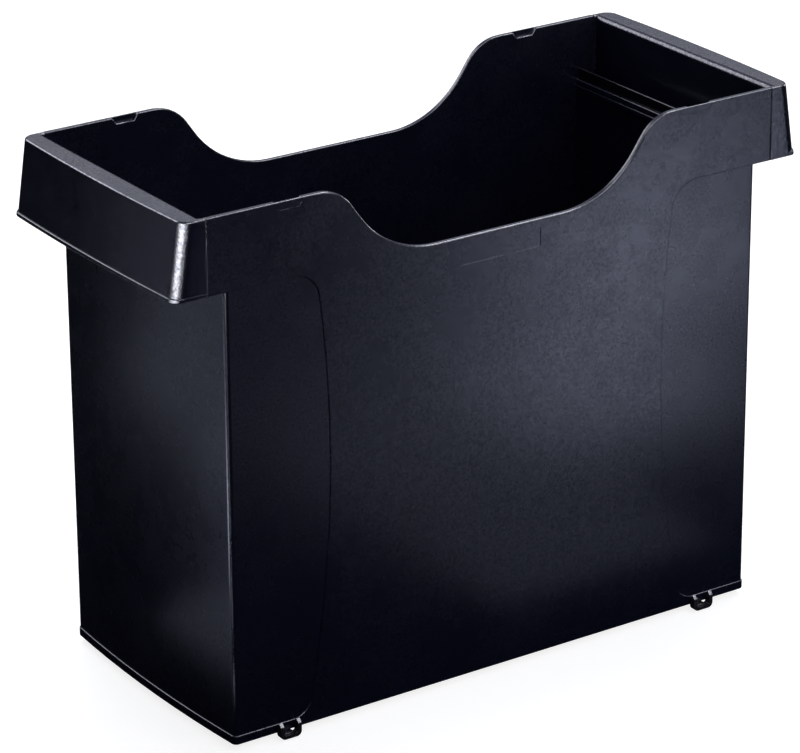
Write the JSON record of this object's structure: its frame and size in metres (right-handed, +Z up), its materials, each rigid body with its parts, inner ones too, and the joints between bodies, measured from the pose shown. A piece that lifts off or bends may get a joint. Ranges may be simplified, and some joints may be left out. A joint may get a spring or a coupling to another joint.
{
  "type": "hanging file box",
  "caption": "Open-topped moulded box for hanging files, with an overhanging grip at each end, inner hanging rails, a finger cut-out in each long wall and pull-out link clips at the foot of the front.",
  "frame": {"origin": "centre of the standing face of the foot ring, under the middle of the box", "axes": "+X along the box to the right as seen from the front, -Y towards the front wall with the link clips, +Z up"},
  "size_m": [0.393, 0.1642, 0.2912],
  "materials": {
    "tub_plastic": "fine-grained black polystyrene",
    "grip_plastic": "grained black plastic",
    "rail_enamel": "black enamelled steel strip",
    "clip_plastic": "smooth black plastic"
  },
  "bodies": {
    "box": {"tub": "tub_plastic", "left_grip": "grip_plastic", "right_grip": "grip_plastic", "left_rail": "rail_enamel", "right_rail": "rail_enamel"},
    "left_clip": {"left_link_clip": "clip_plastic"},
    "right_clip": {"right_link_clip": "clip_plastic"}
  },
  "joints": [
    {"name": "left_clip_pull", "type": "slide", "parent": "box", "child": "left_clip", "axis": [0, 0, -1], "range_m": [0, 0.01]},
    {"name": "right_clip_pull", "type": "slide", "parent": "box", "child": "right_clip", "axis": [0, 0, -1], "range_m": [0, 0.01]}
  ]
}
